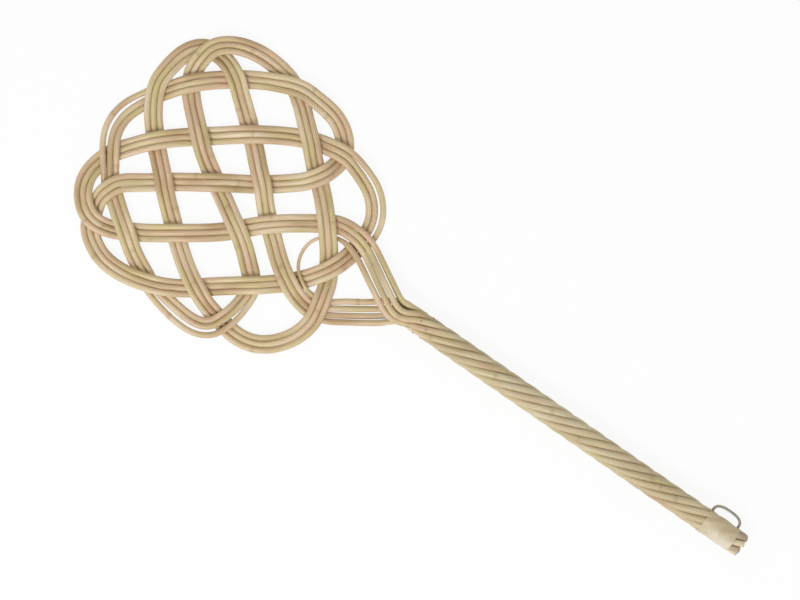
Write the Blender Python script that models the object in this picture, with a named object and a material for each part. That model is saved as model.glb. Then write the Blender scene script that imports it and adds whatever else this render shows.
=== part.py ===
"""Rattan carpet beater, lying flat with its handle along +X.

One strand of three long canes is woven into an over-and-under knot that forms
the head. A fourth, shorter cane is folded at the foot of the knot. All the
cane ends run together at the neck and are laid in a spiral round a core stick,
which makes the handle. Brads pin each cane end to the core at the neck and at
the end. A sleeve of tape binds the end of the handle, and a small bow set in
the sleeve hangs the beater up.

Lengths are in metres. Places in the knot are read from a photograph taken
square to the beater, as pixel coordinates, and brought to real size by the
length and width of the head.
"""
import math

import bmesh
import bpy
import numpy as np
from mathutils import Matrix

# Overall sizes
HEAD_LENGTH = 0.3260
HEAD_WIDTH = 0.2540
HANDLE_LENGTH = 0.3625
NECK_OVERLAP = 0.0120

# Canes
CANE_DIAMETER = 0.0051
HANDLE_CANE_DIAMETER = 0.0056
THICKENING_RUN = 0.0450
CANE_CLEARANCE = 0.0003
LOOP_CANE_DIAMETER = 0.0026
LOOP_THIN_RUN = 0.0300
LOOP_TAPER_RUN = 0.0250
STAND_OFF = 0.0026
LEG_CANE_CLEARANCE = 0.0012
RING_STEP = 0.0125

# Handle
HANDLE_CANE_CLEARANCE = 0.0006
TWIST_PITCH = 0.1424
TWIST_LEAD = 0.0100
CORE_LEAD = 0.0100
CORE_SIDES = 12
CORE_CHAIN_POINTS = 12
RINGS_PER_TURN = 14
CANE_END_OVERHANG = 0.0091
CORE_END_INSET = 0.0010

# Brads that pin the canes to the core, in two rows at each end of the handle
BRAD_DIAMETER = 0.0013
BRAD_DEPTH = 0.0028
BRAD_CLEARANCE = 0.0003
BRAD_INSET = 0.0004
BRAD_SIDES = 8
NECK_BRAD_PLACE = 0.0150
END_BRAD_PLACE = 0.0100
BRAD_ROW_STEP = 0.0080

# Tape sleeve
TAPE_LENGTH = 0.0330
TAPE_THICKNESS = 0.0010
TAPE_CLEARANCE = 0.0003
TAPE_SIDES = 24

# Hanging bow
BOW_DIAMETER = 0.0028
BOW_INSET = 0.0025
BOW_RISE = 0.0073
BOW_HOLE_CLEARANCE = 0.0003
BOW_ARCH_POINTS = 12
BOW_SQUARENESS = 2.6

# Photograph: a point on the handle's axis, the slope of that axis, the neck's
# place along it, and the extents of the head along and across it, in pixels
PHOTO_AXIS_POINT = (222.0, 186.0)
PHOTO_AXIS_DEGREES = 34.7
PHOTO_NECK_PIXELS = 224.0
PHOTO_HEAD_LENGTH_PIXELS = 357.3
PHOTO_HEAD_WIDTH_PIXELS = 278.0

# Route of the strand's middle, from one leg to the other, in pixels, with the
# way that its canes lie in each stretch
STRAND_ROUTE_PIXELS = (
    ("leg", ((389, 299), (380, 280.5), (371.5, 262.5), (364.5, 249), (356, 238))),
    ("plain", ((346, 229), (334, 223.5), (319, 223), (267, 224.5), (220, 231.5), (175, 233),
               (145, 232.5), (118, 230))),
    ("plain", ((110, 229), (102, 226), (89.5, 217), (83, 202), (82, 188), (88.5, 171),
               (99, 160.5))),
    ("plain", ((110, 152.5), (121.5, 148.5), (140, 143.5), (163, 139), (186, 136.5), (221, 135),
               (267, 134.5), (302, 138), (328.5, 146.5), (348, 157.5))),
    ("open", ((361.5, 174.5), (371, 190.5), (374.5, 205), (374, 219), (369, 231.5),
              (361.5, 241.5))),
    ("plain", ((352.5, 252), (342.5, 261), (330.5, 269), (310.5, 277.5), (290, 282),
               (267, 284.5), (221, 286), (163, 286.5))),
    ("plain", ((145, 282), (121, 272), (102, 258), (91, 240), (88, 225), (91.5, 212))),
    ("plain", ((97, 199.5), (105, 191), (114, 185), (145, 182), (221, 182.5), (278, 183.5),
               (312, 179.5), (325, 174), (336, 165))),
    ("plain", ((343, 156), (344.5, 142), (340.5, 126), (330.5, 111.5), (318, 101),
               (304, 90.5))),
    ("plain", ((277, 82.5), (251, 79), (213, 79.5), (186, 84), (169, 88.5), (156.5, 92.5))),
    ("stand_off", ((144.5, 99.5), (129, 108.5), (118, 120), (112.5, 131), (110, 145))),
    ("plain", ((109.5, 158), (109, 181.5), (116.5, 206.5), (125.5, 231), (134, 255.5),
               (140.5, 268.5), (149.5, 284.5))),
    ("stand_off", ((163, 299), (180, 314.5), (190.5, 322), (200.5, 326), (210, 326.5),
                   (220.5, 321.5), (231.5, 313.5))),
    ("plain", ((242, 302.5), (248.5, 292.5), (251, 279.5), (248, 265), (243, 245),
               (230.5, 215), (219.5, 191), (209.5, 169), (205, 158), (199, 135),
               (193.5, 112), (190, 95), (190, 83))),
    ("plain", ((193, 69), (202, 57), (212.5, 47.5), (226, 44.5), (251.5, 49.5), (270, 60),
               (285.5, 74.5), (295.5, 88.5))),
    ("plain", ((301, 103.5), (305.5, 122.5), (310.5, 141.5), (314, 161.5), (323, 198),
               (328, 240), (328.5, 264), (327, 284), (320, 303.5))),
    ("plain", ((312.5, 320), (298, 334), (278.5, 342.5), (260, 344.5), (243, 340),
               (229, 330.5), (218.5, 319.5))),
    ("plain", ((208.5, 308.5), (197.5, 291), (187, 269.5), (179.5, 249.5), (171.5, 220.5),
               (166.5, 200), (161, 170), (156.5, 152), (154, 135), (152.5, 118),
               (153.5, 100))),
    ("plain", ((157, 83.5), (168, 67.5), (182, 53.5), (196, 47), (208.5, 47.5),
               (220.5, 55.5), (229, 65.5))),
    ("plain", ((235, 76), (241, 97), (247.5, 120), (254, 147), (258, 167), (262.5, 186),
               (266, 212), (269, 225.5), (273, 240), (278.5, 259.5), (287, 280.5),
               (297, 297), (310, 308))),
    ("leg", ((326, 312), (345, 312), (362, 312.5), (380, 312.5))),
)

# Route of the folded fourth cane between the two legs, in pixels. Its first
# and last points only say from where it leaves the legs.
LOOP_CANE_ROUTE_PIXELS = ((376, 296), (368, 280), (360, 263.5), (352, 250.5), (344, 242),
                          (335, 237.5), (321, 237), (308, 243), (300, 255), (297.5, 268),
                          (301, 280), (306.5, 289), (313.5, 297), (322, 301.5), (334, 301.5),
                          (350, 301.5), (366, 302))

# Where the canes lie across the strand, in canes to the left of its middle
LAY_SHARES = {"plain": (-1.0, 0.0, 1.0), "leg": (-1.5, -0.5, 0.5),
              "open": (-1.0, 0.0, 1.42), "stand_off": (-1.0, 0.0, 1.0)}
STAND_OFF_LAY = "stand_off"
LEG_LAY = "leg"

# Where each cane meets the handle, in degrees round it from +Y towards +Z
LEG_A_DEGREES = (22.5, 67.5, 112.5, 157.5)
LEG_B_DEGREES = (202.5, 247.5, 292.5, 337.5)
LEG_A_RISE_DEGREES = (22.5, 67.5, 90.0, 90.0)
LEG_B_RISE_DEGREES = (202.5, 247.5, 270.0, 270.0)
HANDLE_CANES = len(LEG_A_DEGREES) + len(LEG_B_DEGREES)

LONG_CANES = ("outer_cane", "middle_cane", "inner_cane")
LOOP_CANE = "neck_loop_cane"

# Working values of the curves
FINE_STEP = 0.0020
ROUTE_EASE = 0.0036
LAY_EASE = 0.0120
EASE_REACH = 3.0
LEVEL_MARGIN = 0.0015
LEAST_RISE_RUN = 0.0080
PUSH_ROUNDS = 300
PUSH_MARGIN = 0.00003
PUSH_OVERSHOOT = 1.4
NEAR_MARGIN = 0.0040
NEIGHBOUR_SEGMENTS = 3
PARALLEL_SHARE = 1e-6
SHARP_DEGREES = 35.0
CUT_OVERRUN = 0.0020
MILLIMETRES = 1000
HOLE_SIDES = 12
CANE_BEVEL_STEPS = 1
BOW_BEVEL_STEPS = 2

# Materials: colour, roughness, metallic
MATERIALS = {
    "peeled_rattan": ((0.58, 0.41, 0.24, 1.0), 0.45, 0.0),
    "core_rattan": ((0.50, 0.36, 0.21, 1.0), 0.6, 0.0),
    "paper_tape": ((0.78, 0.63, 0.44, 1.0), 0.5, 0.0),
    "waxed_cord": ((0.30, 0.24, 0.18, 1.0), 0.6, 0.0),
    "steel_wire": ((0.55, 0.54, 0.52, 1.0), 0.4, 1.0),
}

# Sizes that follow from the ones above
CANE_RADIUS = CANE_DIAMETER / 2
HANDLE_CANE_RADIUS = HANDLE_CANE_DIAMETER / 2
CANE_PITCH = CANE_DIAMETER + CANE_CLEARANCE
LEG_PITCH = CANE_DIAMETER + LEG_CANE_CLEARANCE
WEAVE_HEIGHT = CANE_PITCH / 2
HEAD_LEVEL = CANE_RADIUS + WEAVE_HEIGHT


def lay_radius():
    """Radius of the ring of cane middles round the core, from their spacing."""
    flat = (HANDLE_CANE_DIAMETER + HANDLE_CANE_CLEARANCE) * HANDLE_CANES / math.tau
    return flat / math.sqrt(1 - (math.tau * flat / TWIST_PITCH) ** 2)


LAY_RADIUS = lay_radius()
HANDLE_RADIUS = LAY_RADIUS + HANDLE_CANE_RADIUS
CORE_RADIUS = (LAY_RADIUS * math.cos(math.pi / RINGS_PER_TURN)
               - HANDLE_CANE_RADIUS - CANE_CLEARANCE)
TAPE_BORE_RADIUS = (HANDLE_RADIUS + TAPE_CLEARANCE) / math.cos(math.pi / TAPE_SIDES)
TAPE_RADIUS = TAPE_BORE_RADIUS + TAPE_THICKNESS
AXIS_HEIGHT = TAPE_RADIUS * math.cos(math.pi / TAPE_SIDES)


def plan_point(pixel):
    """Place in plan, from the neck, of a pixel of the photograph."""
    slope = math.radians(PHOTO_AXIS_DEGREES)
    right = pixel[0] - PHOTO_AXIS_POINT[0]
    down = pixel[1] - PHOTO_AXIS_POINT[1]
    along = right * math.cos(slope) + down * math.sin(slope)
    across = right * math.sin(slope) - down * math.cos(slope)
    return ((along - PHOTO_NECK_PIXELS) * HEAD_LENGTH / PHOTO_HEAD_LENGTH_PIXELS,
            across * HEAD_WIDTH / PHOTO_HEAD_WIDTH_PIXELS)


def distances_along(points):
    """Distance along a polyline to each of its points."""
    steps = np.linalg.norm(np.diff(points, axis=0), axis=1)
    return np.concatenate(([0.0], np.cumsum(steps)))


def eased(values, width):
    """Values of a fine curve averaged with their neighbours over a width."""
    reach = int(EASE_REACH * width / FINE_STEP)
    weights = np.exp(-0.5 * (np.arange(-reach, reach + 1) * FINE_STEP / width) ** 2)
    weights /= weights.sum()
    start = 2 * values[0] - values[1:reach + 1][::-1]
    end = 2 * values[-1] - values[-reach - 1:-1][::-1]
    padded = np.concatenate((start, values, end))
    columns = [np.convolve(column, weights, "valid") for column in padded.T]
    return np.column_stack(columns)


def fair_curve(points, lays=None):
    """Fine, even curve through hand-placed plan points, with its lays if given."""
    points = np.array([plan_point(point) for point in points])
    knots = distances_along(points)
    slopes = np.gradient(points, knots, axis=0)
    places = np.linspace(0.0, knots[-1], int(knots[-1] / FINE_STEP) + 1)
    number = np.clip(np.searchsorted(knots, places, "right") - 1, 0, len(knots) - 2)
    run = (knots[number + 1] - knots[number])[:, None]
    part = (places[:, None] - knots[number][:, None]) / run
    curve = ((2 * part ** 3 - 3 * part ** 2 + 1) * points[number]
             + (part ** 3 - 2 * part ** 2 + part) * run * slopes[number]
             + (3 * part ** 2 - 2 * part ** 3) * points[number + 1]
             + (part ** 3 - part ** 2) * run * slopes[number + 1])
    curve = eased(curve, ROUTE_EASE)
    if lays is not None:
        sides = np.column_stack([np.interp(places, knots, lay) for lay in np.array(lays).T])
        curve = np.column_stack((curve, eased(sides, LAY_EASE)))
    along = distances_along(curve[:, :2])
    even = np.linspace(0.0, along[-1], int(along[-1] / FINE_STEP) + 1)
    return even, np.column_stack([np.interp(even, along, column) for column in curve.T])


def left_normals(curve):
    """Unit vectors to the left of a plan curve."""
    heading = np.gradient(curve[:, :2], axis=0)
    heading /= np.linalg.norm(heading, axis=1)[:, None]
    return np.column_stack((-heading[:, 1], heading[:, 0]))


def cross(first, second):
    """Cross product of plan vectors."""
    return first[..., 0] * second[..., 1] - first[..., 1] * second[..., 0]


def crossings(first, second, same):
    """Where two plan curves cross: their two places and the angle between them."""
    starts_a, steps_a = first[:-1, None, :2], np.diff(first[:, :2], axis=0)[:, None]
    starts_b, steps_b = second[None, :-1, :2], np.diff(second[:, :2], axis=0)[None]
    across = cross(steps_a, steps_b)
    between = starts_b - starts_a
    with np.errstate(divide="ignore", invalid="ignore"):
        part_a = cross(between, steps_b) / across
        part_b = cross(between, steps_a) / across
    met = (part_a >= 0) & (part_a < 1) & (part_b >= 0) & (part_b < 1)
    found = []
    for a, b in np.argwhere(met):
        if same and b <= a + 1:
            continue
        angle = math.atan2(across[a, b], float(np.dot(steps_a[a, 0], steps_b[0, b])))
        found.append((a + part_a[a, b], b + part_b[a, b], angle))
    return found


def strand_curve():
    """The strand's middle as a fine plan curve with the lay of its three canes."""
    points = []
    lays = []
    for lay, stretch in STRAND_ROUTE_PIXELS:
        pitch = LEG_PITCH if lay == LEG_LAY else CANE_PITCH
        sides = [share * pitch for share in LAY_SHARES[lay]]
        if lay == STAND_OFF_LAY:
            sides[0] -= STAND_OFF
        points.extend(stretch)
        lays.extend([sides] * len(stretch))
    return fair_curve(points, lays)


def weave_passages(curve, places):
    """Every passage of the strand over or under itself, in order along it."""
    step = places[1] - places[0]
    widest = np.abs(curve[:, 2:]).max(axis=1)
    passages = []
    for a, b, angle in crossings(curve, curve, True):
        passages.append((a * step, angle, widest[int(b)]))
        passages.append((b * step, -angle, widest[int(a)]))
    passages.sort()
    return [(place, angle, width, 1 if number % 2 == 0 else -1)
            for number, (place, angle, width) in enumerate(passages)]


def levels(passages, side):
    """Stretches where a cane, at its side of the strand, stays over or under."""
    starts, ends, heights = [], [], []
    for place, angle, width, way in passages:
        middle = place + side(place) / math.tan(angle)
        half = width / abs(math.sin(angle)) + LEVEL_MARGIN
        starts.append(middle - half)
        ends.append(middle + half)
        heights.append(way * WEAVE_HEIGHT)
    for number in range(len(starts) - 1):
        short = LEAST_RISE_RUN - (starts[number + 1] - ends[number])
        if short > 0:
            ends[number] -= short / 2
            starts[number + 1] += short / 2
    return np.array(starts), np.array(ends), np.array(heights)


def smooth_step(part):
    """Ease from 0 to 1."""
    part = np.clip(part, 0.0, 1.0)
    return part * part * (3 - 2 * part)


def weave_heights(places, stretches):
    """Height above the head's middle at places along a cane."""
    starts, ends, heights = stretches
    number = np.clip(np.searchsorted(starts, places, "right") - 1, 0, len(starts) - 2)
    part = smooth_step((places - ends[number]) / (starts[number + 1] - ends[number]))
    return heights[number] + (heights[number + 1] - heights[number]) * part


def ring_places(length, stretches):
    """Places of the rings along a strand: level stretches and even parts between."""
    starts, ends, _ = stretches
    marks = [0.0]
    for start, end in zip(starts, ends):
        marks.extend((start, end))
    marks.append(length)
    marks = sorted(mark for mark in marks if 0.0 <= mark <= length)
    places = [0.0]
    for mark in marks[1:]:
        last = places[-1]
        if mark - last < FINE_STEP:
            continue
        parts = max(1, math.ceil((mark - last) / RING_STEP))
        places.extend(last + (mark - last) * (number + 1) / parts for number in range(parts))
    return np.array(places)


def columns_at(places, curve_places, columns):
    """Columns of a fine curve at places along it."""
    return np.column_stack([np.interp(places, curve_places, column) for column in columns.T])


def leg_height(degrees):
    """Height at which a cane lies over or under the core's end."""
    return AXIS_HEIGHT + LAY_RADIUS * math.sin(math.radians(degrees))


def head_cane(places, curve_places, curve, side_column, passages, rises):
    """Points of a cane in the head, at the ring places, rising along its legs."""
    def side(place):
        return float(np.interp(place, curve_places, side_column))
    stretches = levels(passages, side)
    heights = HEAD_LEVEL + weave_heights(places, stretches)
    leg_shares = (1 - smooth_step(places / stretches[0][0]),
                  smooth_step((places - stretches[1][-1]) / (places[-1] - stretches[1][-1])))
    for degrees, share in zip(rises, leg_shares):
        heights += share * (leg_height(degrees) - heights)
    middles = columns_at(places, curve_places, curve[:, :2])
    normals = columns_at(places, curve_places, left_normals(curve))
    offsets = np.interp(places, curve_places, side_column)[:, None]
    return np.column_stack((middles + normals * offsets, heights))


def twist(x):
    """Turn of the spiral at a distance from the neck, in radians."""
    eased_in = np.clip(x + TWIST_LEAD, 0.0, NECK_OVERLAP + TWIST_LEAD)
    turn = eased_in ** 2 / (2 * (NECK_OVERLAP + TWIST_LEAD)) + np.maximum(x - NECK_OVERLAP, 0.0)
    return math.tau * turn / TWIST_PITCH


def spiral_points(x, degrees):
    """Points of a cane on the spiral of the handle."""
    turn = math.radians(degrees) - twist(x)
    return np.column_stack((x, LAY_RADIUS * np.cos(turn),
                            AXIS_HEIGHT + LAY_RADIUS * np.sin(turn)))


def neck_points(end, inward, degrees):
    """Points of a cane from the end of its leg on to the spiral."""
    heading = (end - inward) / np.linalg.norm((end - inward)[:2])
    parts = max(2, math.ceil((NECK_OVERLAP - end[0]) / RING_STEP)) + 1
    x = np.linspace(end[0], NECK_OVERLAP, parts + 1)[1:]
    share = smooth_step((x - end[0]) / (NECK_OVERLAP - end[0]))[:, None]
    straight = end + np.outer((x - end[0]) / heading[0], heading)
    straight[:, 2] = end[2]
    spiral = spiral_points(x, degrees)
    return straight * (1 - share) + spiral * share


def handle_places():
    """Places of the rings of a cane along the handle."""
    end = HANDLE_LENGTH + CANE_END_OVERHANG
    parts = math.ceil((end - NECK_OVERLAP) * RINGS_PER_TURN / TWIST_PITCH)
    return np.linspace(NECK_OVERLAP, end, parts + 1)[1:]


def whole_cane(middle, degrees):
    """A cane from its end in the handle, through the head, to its other end."""
    tails = []
    for leg, (end, inward) in enumerate(((middle[0], middle[1]), (middle[-1], middle[-2]))):
        neck = neck_points(end, inward, degrees[leg])
        spiral = spiral_points(handle_places(), degrees[leg])
        tails.append(np.vstack((neck, spiral)))
    return np.vstack((tails[0][::-1], middle, tails[1]))


def closest(start_a, end_a, start_b, end_b):
    """Shares along two sets of segments of their closest points."""
    run_a, run_b, between = end_a - start_a, end_b - start_b, start_a - start_b
    aa = np.einsum("ij,ij->i", run_a, run_a)
    bb = np.einsum("ij,ij->i", run_b, run_b)
    ab = np.einsum("ij,ij->i", run_a, run_b)
    ac = np.einsum("ij,ij->i", run_a, between)
    bc = np.einsum("ij,ij->i", run_b, between)
    spread = aa * bb - ab * ab
    level = spread < PARALLEL_SHARE * aa * bb
    part_a = np.where(level, 0.5, np.clip((ab * bc - ac * bb) / np.where(level, 1.0, spread), 0, 1))
    part_b = np.clip((ab * part_a + bc) / bb, 0, 1)
    part_a = np.clip((ab * part_b - ac) / aa, 0, 1)
    return part_a, part_b


def near_pairs(points, segments, radii, chain):
    """Pairs of segments that could touch, apart from neighbours on one cane."""
    middles = (points[segments[:, 0]] + points[segments[:, 1]]) / 2
    halves = np.linalg.norm(points[segments[:, 0]] - points[segments[:, 1]], axis=1) / 2
    first, second = np.triu_indices(len(segments), 1)
    reach = halves[first] + halves[second] + radii[first] + radii[second] + NEAR_MARGIN
    apart = np.linalg.norm(middles[first] - middles[second], axis=1)
    neighbours = (chain[first] == chain[second]) & (second - first < NEIGHBOUR_SEGMENTS)
    keep = (apart < reach) & ~neighbours
    return first[keep], second[keep]


def push_apart(chains, radii, free):
    """Move canes just clear of each other and of the floor, where they are free."""
    points = np.vstack(chains)
    counts = [len(chain) for chain in chains]
    firsts = np.concatenate(([0], np.cumsum(counts)[:-1]))
    segments = np.vstack([np.column_stack((np.arange(count - 1), np.arange(1, count))) + first
                          for count, first in zip(counts, firsts)])
    chain = np.repeat(np.arange(len(chains)), [count - 1 for count in counts])
    point_radii = np.concatenate(radii)
    moves = np.concatenate(free).astype(float)
    thick = point_radii[segments].max(axis=1)
    first, second = near_pairs(points, segments, thick, chain)
    wanted = thick[first] + thick[second] + CANE_CLEARANCE + PUSH_MARGIN
    a, b = segments[first], segments[second]
    for _ in range(PUSH_ROUNDS):
        part_a, part_b = closest(points[a[:, 0]], points[a[:, 1]], points[b[:, 0]], points[b[:, 1]])
        near_a = points[a[:, 0]] + part_a[:, None] * (points[a[:, 1]] - points[a[:, 0]])
        near_b = points[b[:, 0]] + part_b[:, None] * (points[b[:, 1]] - points[b[:, 0]])
        away = near_a - near_b
        gap = np.linalg.norm(away, axis=1)
        short = wanted - gap
        tight = short > 0
        if not tight.any():
            break
        numbers = np.hstack((a[tight], b[tight]))
        shares = np.column_stack((1 - part_a, part_a, part_b - 1, -part_b))[tight]
        shares = shares * moves[numbers]
        total = (shares ** 2).sum(axis=1)
        total[total == 0] = 1.0
        push = (short[tight] / total / gap[tight])[:, None] * away[tight]
        moved = np.zeros_like(points)
        met = np.zeros(len(points))
        for column in range(shares.shape[1]):
            np.add.at(moved, numbers[:, column], shares[:, column, None] * push)
            np.add.at(met, numbers[:, column], np.abs(shares[:, column]) > 0)
        points = points + PUSH_OVERSHOOT * moved / np.maximum(met, 1)[:, None]
        low = (points[:, 2] < point_radii) & (moves > 0)
        points[low, 2] = point_radii[low]
    least = float((CANE_CLEARANCE + PUSH_MARGIN - short).min())
    print("Least clearance between canes:", round(least * MILLIMETRES, 3), "mm")
    return np.split(points, np.cumsum(counts)[:-1])


def core_chain(x):
    """Points of the core stick as a chain, for the canes to clear."""
    return np.column_stack((x, np.zeros_like(x), np.full_like(x, AXIS_HEIGHT)))


def cane_routes():
    """Centre lines and radii of all four canes, clear of each other."""
    places, curve = strand_curve()
    passages = weave_passages(curve, places)
    rings = ring_places(places[-1], levels(passages, lambda place: 0.0))
    routes = []
    for number in range(len(LONG_CANES)):
        rises = (LEG_A_RISE_DEGREES[number], LEG_B_RISE_DEGREES[number])
        middle = head_cane(rings, places, curve, curve[:, 2 + number], passages, rises)
        degrees = (LEG_A_DEGREES[number], LEG_B_DEGREES[number])
        routes.append(whole_cane(middle, degrees))
    loop_places, loop = fair_curve(LOOP_CANE_ROUTE_PIXELS)
    step = loop_places[1] - loop_places[0]
    met = sorted((a * step, angle, abs(curve[int(b), 2])) for a, b, angle in
                 crossings(loop, curve, False))
    loop_passages = [(place, angle, width, 1 if number % 2 == 0 else -1)
                     for number, (place, angle, width) in enumerate(met)]
    loop_rings = ring_places(loop_places[-1], levels(loop_passages, lambda place: 0.0))
    rises = (LEG_A_RISE_DEGREES[-1], LEG_B_RISE_DEGREES[-1])
    middle = head_cane(loop_rings, loop_places, loop, np.zeros(len(loop)), loop_passages, rises)
    routes.append(whole_cane(middle, (LEG_A_DEGREES[-1], LEG_B_DEGREES[-1])))
    radii = [cane_radii(route) for route in routes]
    radii[-1] = np.minimum(radii[-1], loop_cane_radii(routes[-1]))
    free = [route[:, 0] < NECK_OVERLAP for route in routes]
    core = core_chain(np.linspace(-CORE_LEAD, HANDLE_LENGTH, CORE_CHAIN_POINTS))
    routes = push_apart(routes + [core], radii + [np.full(len(core), CORE_RADIUS)],
                        free + [np.zeros(len(core), bool)])
    return routes[:-1], radii


def cane_radii(route):
    """Radii of a cane, which is a little thicker in the handle than in the head."""
    part = smooth_step((route[:, 0] - NECK_OVERLAP) / THICKENING_RUN)
    return CANE_RADIUS + (HANDLE_CANE_RADIUS - CANE_RADIUS) * part


def loop_cane_radii(route):
    """Radii of the folded cane, which is shaved thin at its bend."""
    along = distances_along(route)
    bend = along[np.argmin(route[:, 0])]
    part = smooth_step((np.abs(along - bend) - LOOP_THIN_RUN) / LOOP_TAPER_RUN)
    return (LOOP_CANE_DIAMETER + (HANDLE_CANE_DIAMETER - LOOP_CANE_DIAMETER) * part) / 2


def material(name):
    """Material of a kind of finish."""
    colour, roughness, metallic = MATERIALS[name]
    made = bpy.data.materials.new(name)
    made.use_nodes = True
    shader = made.node_tree.nodes["Principled BSDF"]
    shader.inputs["Base Color"].default_value = colour
    shader.inputs["Roughness"].default_value = roughness
    shader.inputs["Metallic"].default_value = metallic
    made.diffuse_color = colour
    return made


def add_object(name, data, finish, frame):
    """Put a piece into the scene under the part's frame."""
    data.materials.append(finish)
    piece = bpy.data.objects.new(name, data)
    bpy.context.scene.collection.objects.link(piece)
    piece.parent = frame
    return piece


def tube_data(name, route, radii, bevel_steps):
    """A round tube along a route, thicker and thinner as its radii say."""
    data = bpy.data.curves.new(name, "CURVE")
    data.dimensions = "3D"
    data.bevel_depth = float(radii.max())
    data.bevel_resolution = bevel_steps
    data.use_fill_caps = True
    spline = data.splines.new("POLY")
    spline.points.add(len(route) - 1)
    for point, place, radius in zip(spline.points, route, radii):
        point.co = (*place, 1.0)
        point.radius = radius / radii.max()
    return data


def add_cane(name, route, radii, finish, frame):
    """A cane as a mesh, so that its brad holes can be cut."""
    guide = bpy.data.objects.new(name + "_guide", tube_data(name, route, radii, CANE_BEVEL_STEPS))
    bpy.context.scene.collection.objects.link(guide)
    seen = bpy.context.evaluated_depsgraph_get()
    mesh = bpy.data.meshes.new_from_object(guide.evaluated_get(seen))
    bpy.data.objects.remove(guide, do_unlink=True)
    return add_object(name, mesh, finish, frame)


def turned_bar(name, radius, sides, start, end, finish, frame):
    """A straight bar along the handle's axis, with a flat underneath."""
    mesh = bpy.data.meshes.new(name)
    shape = bmesh.new()
    place = (Matrix.Translation(((start + end) / 2, 0.0, AXIS_HEIGHT))
             @ Matrix.Rotation(math.pi / 2, 4, "Y") @ Matrix.Rotation(math.pi / sides, 4, "Z"))
    bmesh.ops.create_cone(shape, cap_ends=True, segments=sides, radius1=radius, radius2=radius,
                          depth=end - start, matrix=place)
    shape.to_mesh(mesh)
    shape.free()
    mesh.shade_smooth()
    mesh.set_sharp_from_angle(angle=math.radians(SHARP_DEGREES))
    return add_object(name, mesh, finish, frame)


def cutter_object(name, mesh, frame):
    """A cutting tool, left out of the part."""
    tool = bpy.data.objects.new(name, mesh)
    bpy.context.scene.collection.objects.link(tool)
    tool.parent = frame
    tool.hide_render = True
    tool.display_type = "WIRE"
    return tool


def round_cutter(name, radius, sides, depth, place, frame):
    """A round cutting tool."""
    mesh = bpy.data.meshes.new(name)
    shape = bmesh.new()
    bmesh.ops.create_cone(shape, cap_ends=True, segments=sides, radius1=radius, radius2=radius,
                          depth=depth, matrix=place)
    shape.to_mesh(mesh)
    shape.free()
    return cutter_object(name, mesh, frame)


def cut(piece, tool):
    """Cut a tool's shape out of a piece."""
    modifier = piece.modifiers.new(tool.name, "BOOLEAN")
    modifier.operation = "DIFFERENCE"
    modifier.solver = "EXACT"
    modifier.object = tool


def brad_spots(route, number):
    """Where a cane is pinned at the neck and at the handle's end: place and turn."""
    bend = int(np.argmin(route[:, 0]))
    row = number % 2 * BRAD_ROW_STEP
    neck, end = NECK_BRAD_PLACE + row, HANDLE_LENGTH - END_BRAD_PLACE - row
    spots = {"neck_brad": [], "end_brad": []}
    for half in (route[:bend + 1][::-1], route[bend:]):
        tail = half[half[:, 0] >= NECK_OVERLAP]
        for name, x in zip(spots, (neck, end)):
            y, z = (np.interp(x, tail[:, 0], tail[:, axis]) for axis in (1, 2))
            spots[name].append((x, math.atan2(z - AXIS_HEIGHT, y), math.hypot(y, z - AXIS_HEIGHT)))
    return spots


def spokes(name, spots, radius, inner, outer):
    """Round pins standing out from the handle's axis, as one mesh."""
    mesh = bpy.data.meshes.new(name)
    shape = bmesh.new()
    for x, turn, middle in spots:
        tip, top = CORE_RADIUS - inner, middle + outer
        place = (Matrix.Translation((x, 0.0, AXIS_HEIGHT))
                 @ Matrix.Rotation(turn - math.pi / 2, 4, "X")
                 @ Matrix.Translation((0.0, 0.0, (tip + top) / 2)))
        bmesh.ops.create_cone(shape, cap_ends=True, segments=BRAD_SIDES, radius1=radius,
                              radius2=radius, depth=top - tip, matrix=place)
    shape.to_mesh(mesh)
    shape.free()
    return mesh


def pin_canes(canes, core, routes, finish, frame):
    """Brads through every cane into the core, and the holes that they sit in."""
    found = {"neck_brad": [], "end_brad": []}
    hole = (BRAD_DIAMETER / 2 + BRAD_CLEARANCE) / math.cos(math.pi / BRAD_SIDES)
    for number, (cane, route) in enumerate(zip(canes, routes)):
        spots = brad_spots(route, number)
        every = spots["neck_brad"] + spots["end_brad"]
        tool = cutter_object(cane.name + "_brad_cutter",
                             spokes(cane.name + "_brad_cutter", every, hole,
                                    BRAD_DEPTH + BRAD_CLEARANCE, CANE_DIAMETER), frame)
        cut(cane, tool)
        cut(core, tool)
        for name, places in spots.items():
            found[name].extend(places)
    for name, places in found.items():
        for number, place in enumerate(places):
            brad = f"{name}_{number + 1}"
            add_object(brad, spokes(brad, [place], BRAD_DIAMETER / 2, BRAD_DEPTH,
                                    HANDLE_CANE_RADIUS - BRAD_INSET), finish, frame)


def bow_feet():
    """Distances from the neck to the two feet of the hanging bow."""
    return HANDLE_LENGTH - TAPE_LENGTH + BOW_INSET, HANDLE_LENGTH - BOW_INSET


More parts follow.
